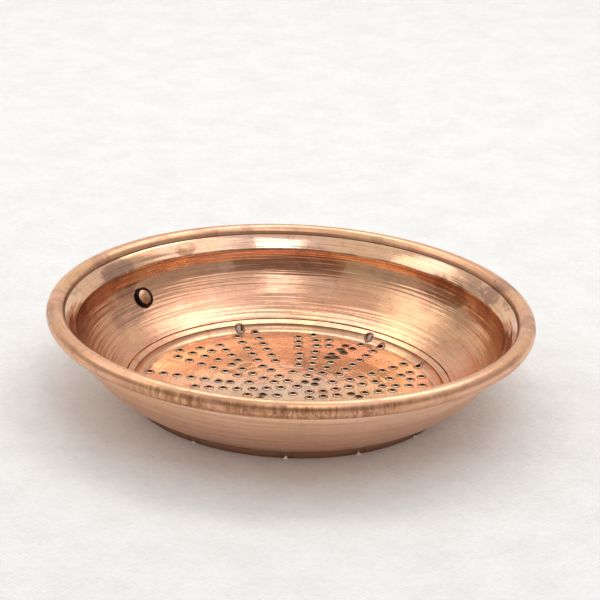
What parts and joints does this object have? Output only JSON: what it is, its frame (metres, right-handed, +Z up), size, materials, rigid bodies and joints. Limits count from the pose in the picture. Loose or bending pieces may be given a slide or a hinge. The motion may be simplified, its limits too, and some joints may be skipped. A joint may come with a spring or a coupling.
{
  "type": "colander",
  "caption": "Shallow round copper colander: spun bowl with a pierced flat bottom, flared shoulder and wired bead rim, and a ring to hang it by.",
  "frame": {"origin": "centre of the bowl's flat underside, at the level it stands on", "axes": "+Z up out of the bowl's mouth, square to the flat base; +Y from the centre to the hanging ring; +X completes the right-handed frame"},
  "size_m": [0.25, 0.25, 0.0483],
  "materials": {
    "copper": "polished, tarnished in patches",
    "aged_copper": "satin, darkened",
    "dark_iron": "blackened"
  },
  "bodies": {
    "colander": {"bowl_shell": "copper", "rim_wire": "dark_iron", "hanger_rivet": "aged_copper", "rivet_washer": "dark_iron", "hanger_strap": "aged_copper"},
    "ring": {"hanging_ring": "aged_copper"}
  },
  "joints": [
    {"name": "ring_swing", "type": "hinge", "parent": "colander", "child": "ring", "pos_m": [0, 0.1135, 0.03032], "axis": [1, 0, 0], "range_deg": [-30, 125]}
  ]
}
